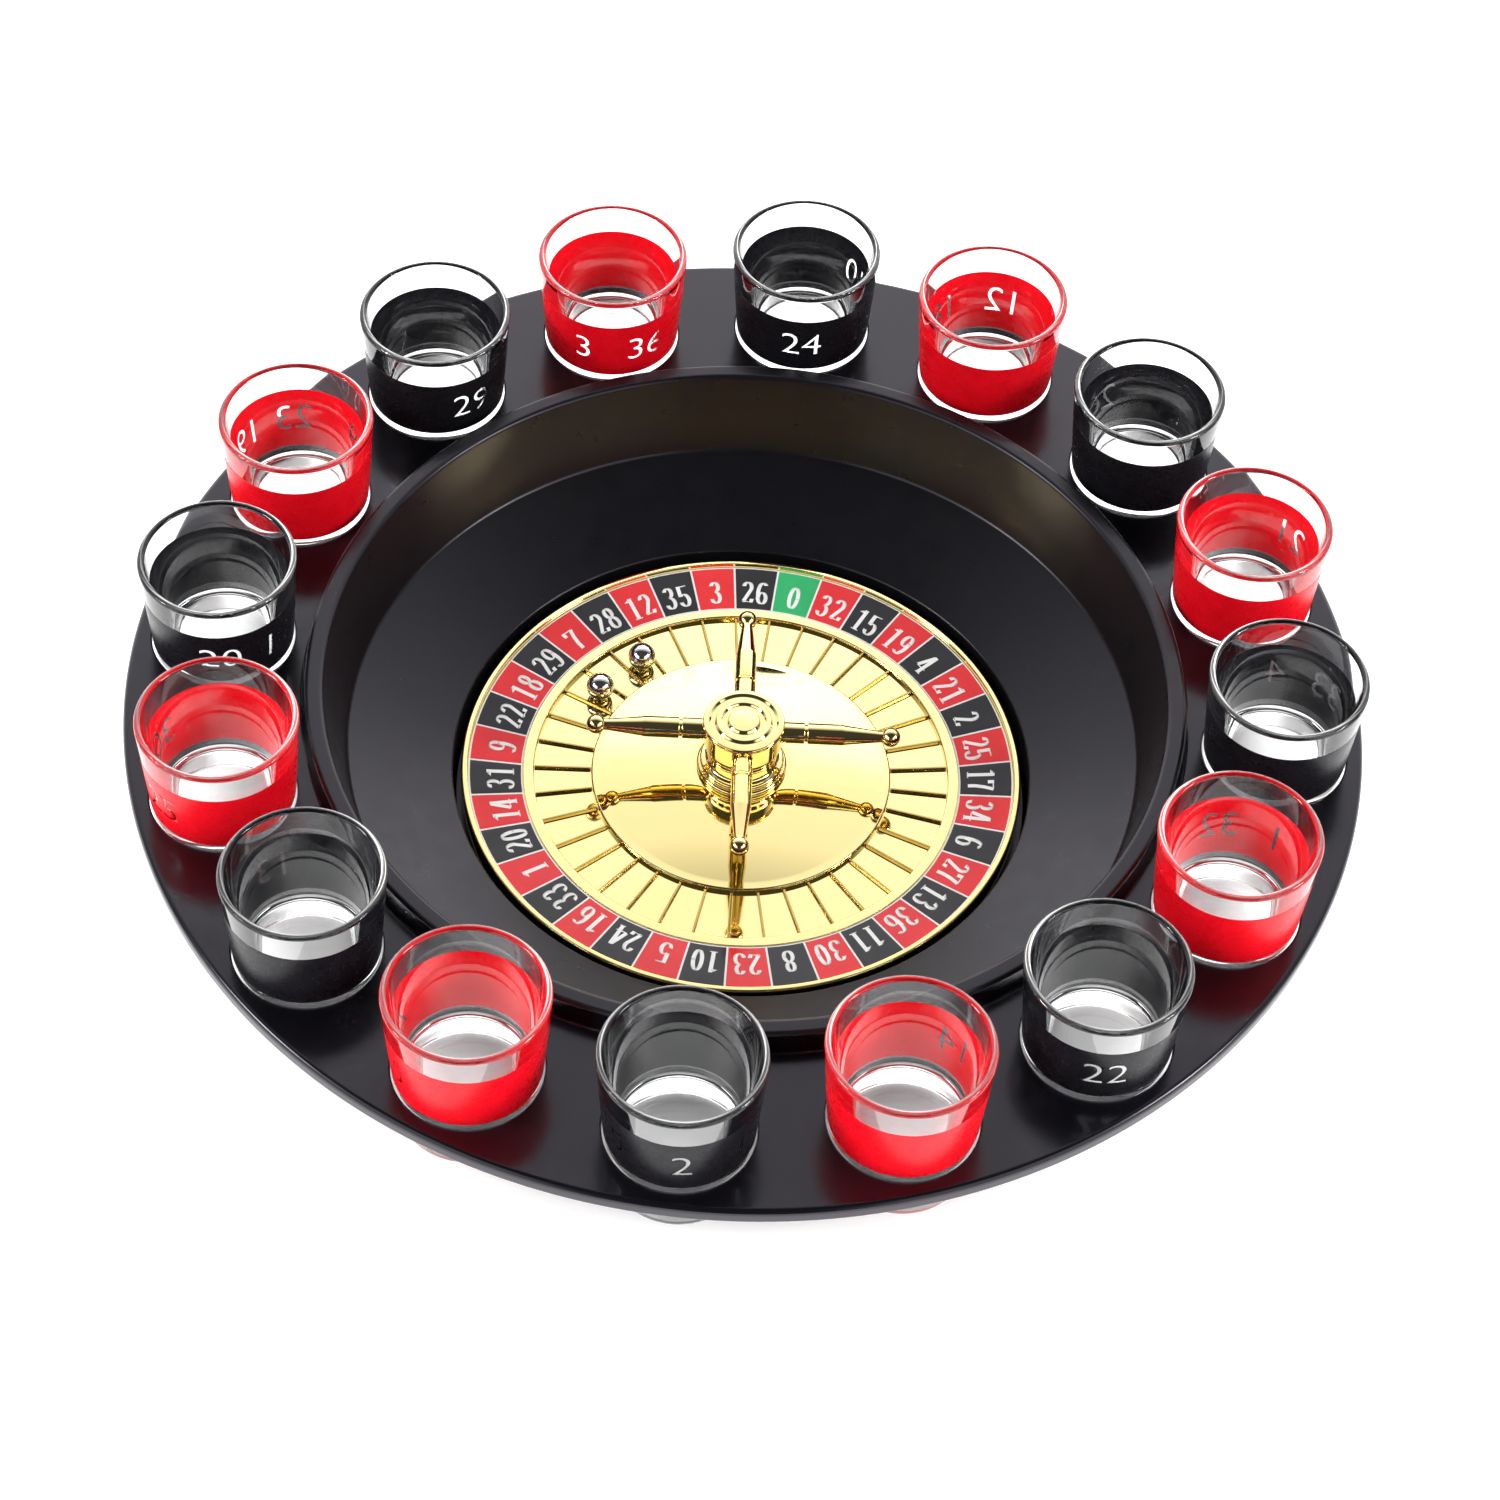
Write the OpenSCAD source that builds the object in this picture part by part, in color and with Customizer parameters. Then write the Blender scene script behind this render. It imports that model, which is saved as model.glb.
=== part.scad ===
// Tabletop roulette wheel with a ring of shot glasses round its rim.
// Millimetres. Z = 0 is the table that the rubber feet stand on, and +Z is the wheel's axis.

/* [Tray] */
// Outer diameter of the tray, the widest thing in the set
tray_d = 300; // [296:1:330]
// Height of the flat flange's top above the table
flange_z = 44; // [44:1:60]
// Thickness of the moulded plastic
wall_t = 2.4; // [2:0.1:3]
// Depth of the skirt round the flange's edge
skirt_h = 3.8; // [3:0.2:8]
// Height of the raised ridge between the glasses and the bowl
ridge_h = 6.2; // [3:0.2:8]
// Width of the ridge's flat top
ridge_w = 4; // [3:0.5:6]
// Radius of the ridge's inner edge
bowl_top_r = 102.3; // [100:0.1:103]
// Radius where the bowl's wall meets its sloping floor
bowl_floor_r = 97.3; // [94:0.1:98]
// Depth of that corner below the flange
bowl_floor_h = 15.8; // [12:0.2:20]
// Radius of the round recess that the rotor turns in
recess_r = 71.4; // [71:0.1:74]

/* [Glasses] */
// Number of glasses in the ring
glass_count = 16; // [16:1:16]
// Radius of the circle that the glasses stand on
glass_pitch_r = 128.4; // [128:0.2:130]
// Direction of the first glass, seen from above
glass_angle = 131; // [0:0.5:360]
// Height of a glass
glass_h = 43.8; // [40:0.2:46]
// Outer radius of a glass at its rim
glass_rim_r = 19.1; // [18.6:0.1:19.2]
// Outer radius of a glass at its foot
glass_foot_r = 15.8; // [15:0.1:16.4]
// Thickness of the glass's solid foot
glass_foot_t = 16.2; // [12:0.2:18]
// Gap between a glass and the edge of its hole
hole_gap = 0.35; // [0.3:0.05:0.6]

/* [Rotor] */
// Outer diameter of the rotor
rotor_d = 138.8; // [130:0.2:139]
// Number of pockets
pocket_count = 37; // [37:1:38]
// Direction of the middle of the first pocket, seen from above
pocket_angle = 79.5; // [0:0.5:360]
// Radius of the pockets' inner wall
pocket_in_r = 37.2; // [35:0.1:38]
// Radius of the pockets' outer wall
pocket_out_r = 51.4; // [50:0.1:52]
// Height of the thin walls between pockets
fret_h = 0.8; // [0.6:0.1:1.2]
// Thickness of the thin walls between pockets
fret_t = 0.8; // [0.6:0.1:1]
// Diameter of a steel ball
ball_d = 7; // [5:0.1:7]
// Which pocket holds the first ball, counted anticlockwise
ball_1_pocket = 5; // [0:1:36]
// Which pocket holds the second ball
ball_2_pocket = 7; // [0:1:36]

/* [Turret] */
// Radius of the cap on top of the column
cap_r = 10.2; // [10:0.1:11]
// Radius of the column at its arms
column_r = 9.6; // [9.4:0.1:9.8]
// Radius of the flared base
flare_r = 11.2; // [10.5:0.1:12]
// Number of arms
arm_count = 4; // [4:1:4]
// Direction of the first arm, seen from above
arm_angle = 1; // [-45:1:45]
// Diameter of an arm
arm_d = 5.2; // [4:0.1:5.2]
// Radius from the axis to the middle of an arm's ball end
arm_reach = 36.2; // [30:0.2:38]
// Diameter of an arm's ball end
arm_ball_d = 4.8; // [4:0.1:5.2]

/* [Spindle] */
// Diameter of the spindle
spindle_d = 6; // [5:0.5:6]
// Gap all round between the spindle and its bush
bush_gap = 0.05; // [0.02:0.01:0.1]

/* [Hidden] */
$fn = 96;

foot_h = 4;
foot_r = 7;
foot_pitch_r = 62;
foot_count = 4;

tray_r = tray_d / 2;
floor_z = foot_h + wall_t;
recess_edge_z = flange_z - 26.9;
bowl_floor_z = flange_z - bowl_floor_h;
boss_r = 9.5;
boss_z = floor_z + 0.7;
nut_pocket_r = 9;

glass_z = flange_z - glass_foot_t;
glass_slope = (glass_rim_r - glass_foot_r) / glass_h;
hole_r = glass_foot_r + glass_slope * glass_foot_t + hole_gap;

// The rotor's levels, from the washer under its bush up to the turret's cap
washer_t = 0.6;
running_gap = 0.1;
bush_z = boss_z + washer_t + running_gap;
pan_t = 2;
pan_z = bush_z + 2.6;
pocket_z = pan_z + pan_t;
lip_z = pocket_z + 1.3;
rim_z = pocket_z + 3.6;
cone_edge_z = pocket_z + 1.3;
cone_top_z = pocket_z + 4;
rotor_r = rotor_d / 2;
label_in_r = 54.2;
label_out_r = 67.6;
label_in_z = pocket_z + 0.75;
label_out_z = pocket_z + 2.15;
label_t = 0.25;
pan_r = 67.2;

flare_h = 4;
arm_z = cone_top_z + 13.2;
cap_z = arm_z + arm_d / 2;
cap_t = 1.2;
hollow_r = 6.4;
hollow_top_z = cone_top_z + 9;
tail_r = 7.9;
socket_r = 1.5;

spindle_r = spindle_d / 2;
spindle_top_z = cone_top_z + 5.6;
bush_r = 5.5;
bush_top_z = cone_top_z + 2;
clip_z = bush_top_z + 0.3;
clip_t = 0.8;

pitch = 360 / pocket_count;
ball_pockets = [ball_1_pocket, ball_2_pocket];
ball_track_r = (pocket_in_r + pocket_out_r) / 2 - 0.9;
ball_z = pocket_z + ball_d / 2 + 0.05;

// Points of an arc round (x, y), from angle a to angle b
function arc(x, y, r, a, b, steps = 6) =
    [for (i = [0:steps]) [x + r * cos(a + (b - a) * i / steps), y + r * sin(a + (b - a) * i / steps)]];

function glass_name(i) = str("glass_", i < 10 ? "0" : "", i);
function arm_name(i) = str("arm_", i);
function ball_name(i) = str("ball_", i);

// ---- Tray and what is fixed to it ----

// The moulding's section is cut into four rings, each its own node, at these points
edge_r = 1.5;
corner_r = 3;
ridge_out_r = bowl_top_r + ridge_w;
ridge_z = flange_z + ridge_h;
skirt_z = flange_z - skirt_h;
well_out_r = recess_r + wall_t;
well_top_z = recess_edge_z - wall_t;
flange_in_r = ridge_out_r + 2;
corner = [bowl_floor_r - corner_r + 0.4, bowl_floor_z + corner_r - 0.9];
floor_end = arc(corner[0], corner[1], corner_r, -66, -12)[0];
wall_under = [bowl_floor_r + wall_t + 0.8, bowl_floor_z - 0.6];
under_slope = (wall_under[1] - well_top_z) / (wall_under[0] - well_out_r);
floor_under = [floor_end[0] + 1.1, well_top_z + under_slope * (floor_end[0] + 1.1 - well_out_r)];

module moulded() {
    color("#1c1b1f") rotate_extrude($fn = 180) children();
}

module tray_flange() {
    color("#1c1b1f")
    difference() {
        moulded() polygon(concat(
            [[flange_in_r, flange_z - wall_t], [flange_in_r, flange_z]],
            arc(tray_r - edge_r, flange_z - edge_r, edge_r, 90, 0),
            [[tray_r, skirt_z], [tray_r - wall_t * 0.8, skirt_z], [tray_r - wall_t, flange_z - wall_t]]
        ));
        for (i = [1:glass_count])
            at_glass(i) translate([0, 0, flange_z - 10]) cylinder(r = hole_r, h = 20);
    }
}

module bowl_wall() {
    moulded() polygon(concat(
        arc(corner[0], corner[1], corner_r, -66, -12),
        arc(bowl_top_r + 0.6, ridge_z - 1, 1, 168, 90),
        arc(ridge_out_r, ridge_z - 1, 1, 90, 8),
        arc(flange_in_r, flange_z + 0.8, 0.8, 188, 270, 4),
        [[flange_in_r, flange_z - wall_t], [bowl_top_r + 1.6, flange_z - wall_t], wall_under, floor_under]
    ));
}

module bowl_floor() {
    moulded() polygon([
        [recess_r, well_top_z], [recess_r, recess_edge_z - 0.5], [recess_r + 0.6, recess_edge_z],
        floor_end, floor_under, [well_out_r, well_top_z]
    ]);
}

module rotor_well() {
    moulded() polygon([
        [spindle_r, boss_z], [boss_r, boss_z], [boss_r, floor_z], [recess_r, floor_z],
        [recess_r, well_top_z], [well_out_r, well_top_z], [well_out_r, foot_h],
        [nut_pocket_r, foot_h], [nut_pocket_r, foot_h + 0.7], [spindle_r, foot_h + 0.7]
    ]);
}

module rubber_feet() {
    color("#26262a")
    for (i = [1:foot_count])
        rotate([0, 0, (i - 0.5) * 360 / foot_count])
        translate([foot_pitch_r, 0, 0])
        rotate_extrude()
        polygon(concat([[0, 0]], arc(foot_r - 0.8, 0.8, 0.8, -90, 0), [[foot_r, foot_h], [0, foot_h]]));
}

module spindle() {
    groove = 0.5;
    color("silver")
    rotate_extrude()
    polygon([
        [0, 1], [spindle_r - 0.4, 1], [spindle_r, 1.4], [spindle_r, boss_z],
        [spindle_r + 1.4, boss_z], [spindle_r + 1.4, boss_z + 0.4], [spindle_r, boss_z + 0.4],
        [spindle_r, clip_z], [spindle_r - groove, clip_z],
        [spindle_r - groove, clip_z + clip_t], [spindle_r, clip_z + clip_t],
        [spindle_r, spindle_top_z - 0.5], [spindle_r - 0.5, spindle_top_z], [0, spindle_top_z]
    ]);
}

module flat_ring(in_r, out_r, z, t) {
    translate([0, 0, z])
    difference() {
        cylinder(r = out_r, h = t);
        translate([0, 0, -1]) cylinder(r = in_r, h = t + 2);
    }
}

module spindle_washer() {
    color("silver") flat_ring(spindle_r, 7, foot_h + 0.1, 0.6);
}

module spindle_nut() {
    across_corners = 11.5;
    nut_t = 2.3;
    color("silver")
    translate([0, 0, foot_h + 0.1 - nut_t])
    difference() {
        cylinder(d = across_corners, h = nut_t, $fn = 6);
        translate([0, 0, -1]) cylinder(r = spindle_r, h = nut_t + 2);
    }
}

module thrust_washer() {
    color("white") flat_ring(spindle_r + 1.6, 8, boss_z, washer_t);
}

// ---- Rotor ----

module screws_at(r, count, z, length, head_r, body_r) {
    head_t = 1.2;
    for (i = [1:count])
        rotate([0, 0, i * 360 / count])
        translate([r, 0, z])
        rotate_extrude($fn = 24)
        polygon([[0, 0], [head_r, 0], [body_r, head_t], [body_r, length], [0, length]]);
}

module all_screws() {
    screws_at(r = 60, count = 4, z = pan_z, length = 2.7, head_r = 2.3, body_r = 1.1);
    screws_at(r = 28, count = 3, z = pan_z, length = 3.8, head_r = 2.3, body_r = 1.1);
}

module rotor_screws() {
    color("dimgray") all_screws();
}

module rotor_pan() {
    color("#d8b24a")
    difference() {
        flat_ring(boss_r, pan_r, pan_z, pan_t);
        all_screws();
    }
}

module rotor_rim() {
    skirt_z = pan_z - 0.4;
    color("#e6c65c")
    difference() {
        rotate_extrude($fn = 180)
        polygon(concat(
            [[pocket_out_r, pocket_z]],
            arc(pocket_out_r + 0.5, lip_z - 0.5, 0.5, 180, 90, 3),
            [[label_in_r - 0.1, lip_z], [label_in_r - 0.1, label_in_z], [label_out_r + 0.1, label_out_z]],
            [[label_out_r + 0.2, rim_z - 0.3], [label_out_r + 0.5, rim_z]],
            arc(rotor_r - 0.7, rim_z - 0.7, 0.7, 90, 0, 4),
            [[rotor_r, skirt_z], [pan_r + 0.1, skirt_z], [pan_r + 0.1, pocket_z]]
        ));
        all_screws();
    }
}

module number_ring() {
    color("#c8323a")
    rotate_extrude($fn = 180)
    polygon([
        [label_in_r, label_in_z + 0.02], [label_out_r, label_out_z + 0.02],
        [label_out_r, label_out_z + label_t], [label_in_r, label_in_z + label_t]
    ]);
}

module pocket_frets() {
    tip = 0.3;
    color("#f0d070")
    for (i = [1:pocket_count])
        rotate([90, 0, pocket_angle + (i - 0.5) * pitch])
        translate([0, 0, -fret_t / 2])
        linear_extrude(height = fret_t)
        polygon([
            [pocket_in_r + 0.1, pocket_z], [pocket_out_r - 0.1, pocket_z],
            [pocket_out_r - 0.1, pocket_z + fret_h], [pocket_in_r + 0.1 + tip, pocket_z + fret_h],
            [pocket_in_r + 0.1, pocket_z + fret_h - tip]
        ]);
}

module rotor_cone() {
    fall = cone_top_z - cone_edge_z;
    seat_r = flare_r + 0.6;
    steps = 12;
    dome = [for (i = [0:steps])
        let (u = i / steps) [seat_r + u * (pocket_in_r - 0.5 - seat_r), cone_top_z - fall * pow(u, 1.5)]];
    color("#f2da84")
    difference() {
        rotate_extrude($fn = 180)
        polygon(concat(
            [[bush_r, pan_z], [boss_r - 0.1, pan_z], [boss_r - 0.1, pocket_z], [pocket_in_r, pocket_z]],
            [[pocket_in_r, cone_edge_z - 0.4]],
            [for (i = [steps:-1:0]) dome[i]],
            [[bush_r, cone_top_z]]
        ));
        all_screws();
    }
}

module hub_bush() {
    bore_r = spindle_r + bush_gap;
    color("#b5893a")
    difference() {
        union() {
            translate([0, 0, bush_z]) cylinder(r = 7.5, h = pan_z - bush_z);
            translate([0, 0, bush_z]) cylinder(r = bush_r, h = bush_top_z - bush_z);
        }
        translate([0, 0, bush_z - 1]) cylinder(r = bore_r, h = bush_top_z - bush_z + 2);
        translate([0, 0, bush_z - 1]) cylinder(r = spindle_r + 1.5, h = 1.2);
    }
}

module retaining_clip() {
    slot_w = 3.6;
    color("dimgray")
    difference() {
        flat_ring(spindle_r - 0.5, 5.6, clip_z, clip_t);
        translate([0, -slot_w / 2, clip_z - 1]) cube([8, slot_w, clip_t + 2]);
    }
}

// ---- Turret ----

module turret_base() {
    top_z = cone_top_z + flare_h;
    color("#e6c65c")
    rotate_extrude()
    polygon(concat(
        [[tail_r, cone_top_z], [flare_r - 0.4, cone_top_z]],
        arc(flare_r - 0.9, cone_top_z + 0.9, 0.9, -60, 80),
        arc(flare_r - 1.5, cone_top_z + 2.7, 0.8, -60, 90),
        [[column_r - 0.6, top_z - 0.2], [column_r - 0.8, top_z], [tail_r, top_z]]
    ));
}

module column_section() {
    foot_z = cone_top_z + flare_h;
    waist_r = column_r - 1;
    waist_z = foot_z + 2.2;
    shoulder_z = arm_z - arm_d / 2 - 0.6;
    steps = 8;
    sweep = [for (i = [0:steps])
        let (u = i / steps)
        [waist_r + (column_r - waist_r) * (1 - cos(u * 180)) / 2, waist_z + u * (shoulder_z - waist_z)]];
    polygon(concat(
        [[hollow_r, cone_top_z], [tail_r, cone_top_z], [tail_r, foot_z], [column_r - 0.8, foot_z]],
        sweep,
        [[column_r, cap_z], [0, cap_z], [0, hollow_top_z], [hollow_r, hollow_top_z]]
    ));
}

module at_arm(i) {
    turn = arm_angle + (i - 1) * 360 / arm_count;
    translate([0, 0, arm_z]) rotate([0, 90, turn]) children();
}

module turret_column() {
    color("#e0bb50")
    difference() {
        rotate_extrude() column_section();
        for (i = [1:arm_count])
            at_arm(i) translate([0, 0, 4]) cylinder(r = socket_r, h = column_r, $fn = 32);
        translate([0, 0, cap_z - 2]) cylinder(r = 2, h = 4);
    }
}

module turret_cap() {
    top_z = cap_z + cap_t;
    color("#f0d478")
    rotate_extrude()
    polygon(concat(
        [[0, cap_z - 1.9], [1.9, cap_z - 1.9], [1.9, cap_z], [cap_r - 0.4, cap_z]],
        arc(cap_r - 0.5, cap_z + 0.5, 0.5, -60, 90, 5),
        [[cap_r - 1.6, top_z], [cap_r - 2.1, top_z - 0.5], [cap_r - 3, top_z - 0.5], [cap_r - 3.4, top_z]],
        [[cap_r - 4.6, top_z], [cap_r - 5, top_z - 0.4], [cap_r - 6, top_z - 0.4], [cap_r - 6.5, top_z + 0.2]],
        [[0, top_z + 0.3]]
    ));
}

module arm_section() {
    start = column_r - 1;
    ring_at = 15;
    taper_at = 24.4;
    neck_at = arm_reach - arm_ball_d / 2 - 0.2;
    r = arm_d / 2;
    polygon(concat(
        [[0, 4.2], [socket_r, 4.2], [socket_r, start], [r, start]],
        [[r, ring_at], [r - 0.5, ring_at + 0.2], [r - 0.5, ring_at + 0.6], [r, ring_at + 0.8]],
        [[r, taper_at], [r - 0.15, taper_at + 0.4], [1.4, neck_at]],
        arc(0, arm_reach, arm_ball_d / 2, -54, 90, 9)
    ));
}

module arm(i) {
    color("#e6c65c")
    difference() {
        at_arm(i) rotate_extrude($fn = 48) arm_section();
        difference() {
            translate([0, 0, arm_z - 4]) cylinder(r = column_r, h = 8);
            at_arm(i) cylinder(r = socket_r, h = column_r + 1, $fn = 32);
        }
    }
}

// ---- Balls and glasses ----

module ball(i) {
    color("gainsboro")
    rotate([0, 0, pocket_angle + ball_pockets[i - 1] * pitch])
    translate([ball_track_r, 0, ball_z])
    sphere(d = ball_d);
}

module at_glass(i) {
    rotate([0, 0, glass_angle - (i - 1) * 360 / glass_count]) translate([glass_pitch_r, 0, 0]) children();
}

module glass_section() {
    lip_r = 0.9;
    hollow_rim_r = glass_rim_r - 2 * lip_r;
    hollow_foot_r = glass_foot_r - 2;
    round_r = 1.8;
    polygon(concat(
        [[0, 0.5], [glass_foot_r - 3, 0.3], [glass_foot_r - 2.4, 0]],
        arc(glass_foot_r - 1, 1, 1, -90, 0, 4),
        arc(glass_rim_r - lip_r, glass_h - lip_r, lip_r, 0, 180, 8),
        [[hollow_rim_r, glass_h - lip_r]],
        arc(hollow_foot_r - round_r + 0.1, glass_foot_t + round_r, round_r, 0, -90, 5),
        [[0, glass_foot_t]]
    ));
}

module glass(i) {
    color(i % 2 == 1 ? "#2a2a30" : "#d8101c", 0.6)
    at_glass(i) translate([0, 0, glass_z]) rotate_extrude() glass_section();
}

// ---- Assembly ----

tray_flange();
bowl_wall();
bowl_floor();
rotor_well();
rubber_feet();
spindle();
spindle_washer();
spindle_nut();
thrust_washer();
rotor_pan();
rotor_rim();
number_ring();
pocket_frets();
rotor_cone();
hub_bush();
retaining_clip();
rotor_screws();
turret_base();
turret_column();
turret_cap();
for (i = [1:arm_count]) arm(i);
for (i = [1:len(ball_pockets)]) ball(i);
for (i = [1:glass_count]) glass(i);
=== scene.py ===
"""Looks of a tabletop roulette wheel with a ring of shot glasses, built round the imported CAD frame.

Lengths are in millimetres until mesh data is made, and heights and radii come from the CAD boxes.
"""
import math

import bmesh
import bpy
from mathutils import Matrix, Vector
from mathutils.geometry import interpolate_bezier


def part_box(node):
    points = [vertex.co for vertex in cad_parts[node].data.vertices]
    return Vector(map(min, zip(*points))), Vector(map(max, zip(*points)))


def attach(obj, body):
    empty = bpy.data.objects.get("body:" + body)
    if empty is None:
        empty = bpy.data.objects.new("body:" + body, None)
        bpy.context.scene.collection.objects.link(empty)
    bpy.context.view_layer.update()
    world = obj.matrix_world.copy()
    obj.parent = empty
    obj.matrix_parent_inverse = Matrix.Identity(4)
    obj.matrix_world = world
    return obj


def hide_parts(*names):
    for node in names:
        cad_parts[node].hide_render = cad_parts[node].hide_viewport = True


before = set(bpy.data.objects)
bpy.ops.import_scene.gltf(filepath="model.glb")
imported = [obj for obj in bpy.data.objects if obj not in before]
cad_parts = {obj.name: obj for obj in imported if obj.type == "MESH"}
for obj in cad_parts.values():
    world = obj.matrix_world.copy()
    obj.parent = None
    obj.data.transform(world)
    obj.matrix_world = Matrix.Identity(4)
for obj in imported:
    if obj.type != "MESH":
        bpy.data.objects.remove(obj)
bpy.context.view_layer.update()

MM = 0.001


def low(node):
    """The lowest corner of a CAD node, in mm."""
    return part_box(node)[0] / MM


def high(node):
    """The highest corner of a CAD node, in mm."""
    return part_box(node)[1] / MM


# ---- Sizes read from the CAD ----

WALL_T = 2.4
FLANGE_Z = high("tray_flange").z
FLANGE_R = high("tray_flange").x
FLANGE_SKIRT_Z = low("tray_flange").z
RIDGE_Z = high("bowl_wall").z
RECESS_EDGE_Z = high("rotor_well").z + WALL_T
WELL_R = high("rotor_well").x
TRAY_UNDER_Z = low("rotor_well").z
RIM_R = high("rotor_rim").x
RIM_Z = high("rotor_rim").z
RIM_UNDER_Z = low("rotor_rim").z
POCKET_Z = low("pocket_frets").z
FRET_TOP_Z = high("pocket_frets").z
LABEL_TOP_Z = high("number_ring").z
LABEL_LOW_Z = low("number_ring").z
LABEL_OUT_R = high("number_ring").x
CONE_TOP_Z = high("rotor_cone").z
CONE_R = high("rotor_cone").x
BASE_R = high("turret_base").x
BASE_TOP_Z = high("turret_base").z
COLUMN_R = high("turret_column").x
COLUMN_TOP_Z = high("turret_column").z
CAP_R = high("turret_cap").x
CAP_TOP_Z = high("turret_cap").z
ARM_Z = (low("arm_1").z + high("arm_1").z) / 2
ARM_R = (high("arm_1").z - low("arm_1").z) / 2
GLASS_Z = low("glass_01").z
GLASS_H = high("glass_01").z - GLASS_Z
GLASS_RIM_R = (high("glass_01").x - low("glass_01").x) / 2

GLASS_COUNT = 16
POCKET_COUNT = 37
PITCH = 360 / POCKET_COUNT
FIRST_POCKET = 79.5
ARM_COUNT = 4
ARM_TURN = 1.0
RECESS_R = 71.4
BOWL_TOP_R = 102.3
RIDGE_W = 4.0
SPINDLE_R = 3.0
POCKET_IN_R = CONE_R
POCKET_OUT_R = 51.4
LABEL_IN_R = 54.2
GLASS_FOOT_R = 15.8
GLASS_FOOT_T = 16.2
HOLE_GAP = 0.35
BOWL_FOOT_R = 97.0
BOWL_DEPTH = 15.8
BOSS_R = 9.5
BOSS_H = 0.7
NUT_SEAT_R = 9.0
NUT_SEAT_H = 0.7
SKIRT_T = 1.9
POCKET_DEPTH = 1.3
LABEL_T = 0.25
HUB_R = 9.4
HUB_BORE_R = 5.5
HUB_H = 2
COLUMN_SEAT_R = 7.9
COLUMN_BORE_R = 6.4
COLUMN_BORE_H = 9
CAP_PEG_R = 1.9
CAP_PEG_H = 1.9


# ---- Profiles and lathes ----

WELD = 1e-7
ON_AXIS_R = 1e-6


def rounded(corners, steps=6):
    """A closed outline through (x, z, radius) corners, each rounded to its radius."""
    points = []
    for i, (x, z, radius) in enumerate(corners):
        here = Vector((x, z))
        if radius <= 0:
            points.append(here)
            continue
        before = Vector(corners[i - 1][:2]) - here
        after = Vector(corners[(i + 1) % len(corners)][:2]) - here
        half = before.angle(after) / 2
        reach = min(radius / math.tan(half), before.length * 0.49, after.length * 0.49)
        real = reach * math.tan(half)
        bisector = (before.normalized() + after.normalized()).normalized()
        centre = here + bisector * (real / math.sin(half))
        first = here + before.normalized() * reach - centre
        last = here + after.normalized() * reach - centre
        sweep = first.angle_signed(last)
        for k in range(steps + 1):
            turned = first.copy()
            turned.rotate(Matrix.Rotation(-sweep * k / steps, 2))
            points.append(centre + turned)
    return [(p.x, p.y) for p in points]


def oval(x, y, wide, tall, start, end, steps=20):
    """Points of part of an oval round (x, y), from one angle to the other in degrees."""
    angles = [math.radians(start + (end - start) * i / steps) for i in range(steps + 1)]
    return [(x + wide * math.cos(a), y + tall * math.sin(a)) for a in angles]


def arc(x, z, radius, start, end, steps=8):
    """Points of an arc round (x, z), from one angle to the other in degrees."""
    return oval(x, z, radius, radius, start, end, steps)


def new_object(name, data):
    made = bpy.data.objects.new(name, data)
    bpy.context.scene.collection.objects.link(made)
    return made


def smooth(mesh, angle=32):
    """Smooth shading, with edges sharper than the angle kept."""
    mesh.polygons.foreach_set("use_smooth", [True] * len(mesh.polygons))
    mesh.set_sharp_from_angle(angle=math.radians(angle))


def close_bmesh(name, bm):
    """Turns bm into a mesh and frees it."""
    mesh = bpy.data.meshes.new(name)
    bm.to_mesh(mesh)
    bm.free()
    return mesh


def to_mesh(name, bm, angle=32):
    """A welded mesh from bm, with its normals outward and smooth shading."""
    bmesh.ops.remove_doubles(bm, verts=bm.verts, dist=WELD)
    bmesh.ops.recalc_face_normals(bm, faces=bm.faces)
    mesh = close_bmesh(name, bm)
    smooth(mesh, angle)
    return mesh


def spin(bm, outline, segments, place=None):
    """Adds the closed outline turned about Z to bm."""
    place = place or Matrix.Identity(4)
    rings = []
    for s in range(segments):
        a = 2 * math.pi * s / segments
        ring = [place @ Vector((r * math.cos(a), r * math.sin(a), z)) * MM for r, z in outline]
        rings.append([bm.verts.new(p) for p in ring])
    for s in range(segments):
        one, two = rings[s], rings[(s + 1) % segments]
        for i in range(len(outline)):
            j = (i + 1) % len(outline)
            if outline[i][0] < ON_AXIS_R and outline[j][0] < ON_AXIS_R:
                continue
            bm.faces.new((one[i], two[i], two[j], one[j]))


def lathe(name, outline, segments=192, place=None, angle=32):
    """A turned object from its closed outline."""
    bm = bmesh.new()
    spin(bm, outline, segments, place)
    return new_object(name, to_mesh(name, bm, angle))


def even_normals(piece):
    """Keeps big flat faces flat beside small rounded ones."""
    weighted = piece.modifiers.new("even_normals", "WEIGHTED_NORMAL")
    weighted.keep_sharp = True
    weighted.weight = 100


def thicken(piece, thickness, offset):
    """Makes a sheet a solid film, below its faces for an offset of -1 and above them for 1."""
    film = piece.modifiers.new("film", "SOLIDIFY")
    film.thickness = thickness * MM
    film.offset = offset


def finish_piece(piece, body, material, nodes=()):
    """Gives a piece its material and its body, and hides the CAD nodes that it stands for."""
    even_normals(piece)
    piece.data.materials.clear()
    piece.data.materials.append(material)
    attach(piece, body)
    if nodes:
        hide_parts(*nodes)


# ---- Materials ----

NOISE_ROUGHNESS = 0.55
STREAK_RATIO = 3.1
BUMP_STRENGTH = 0.5


def new_material(name):
    material = bpy.data.materials.new(name)
    material.use_nodes = True
    tree = material.node_tree
    return material, tree, tree.nodes["Principled BSDF"]


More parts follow.
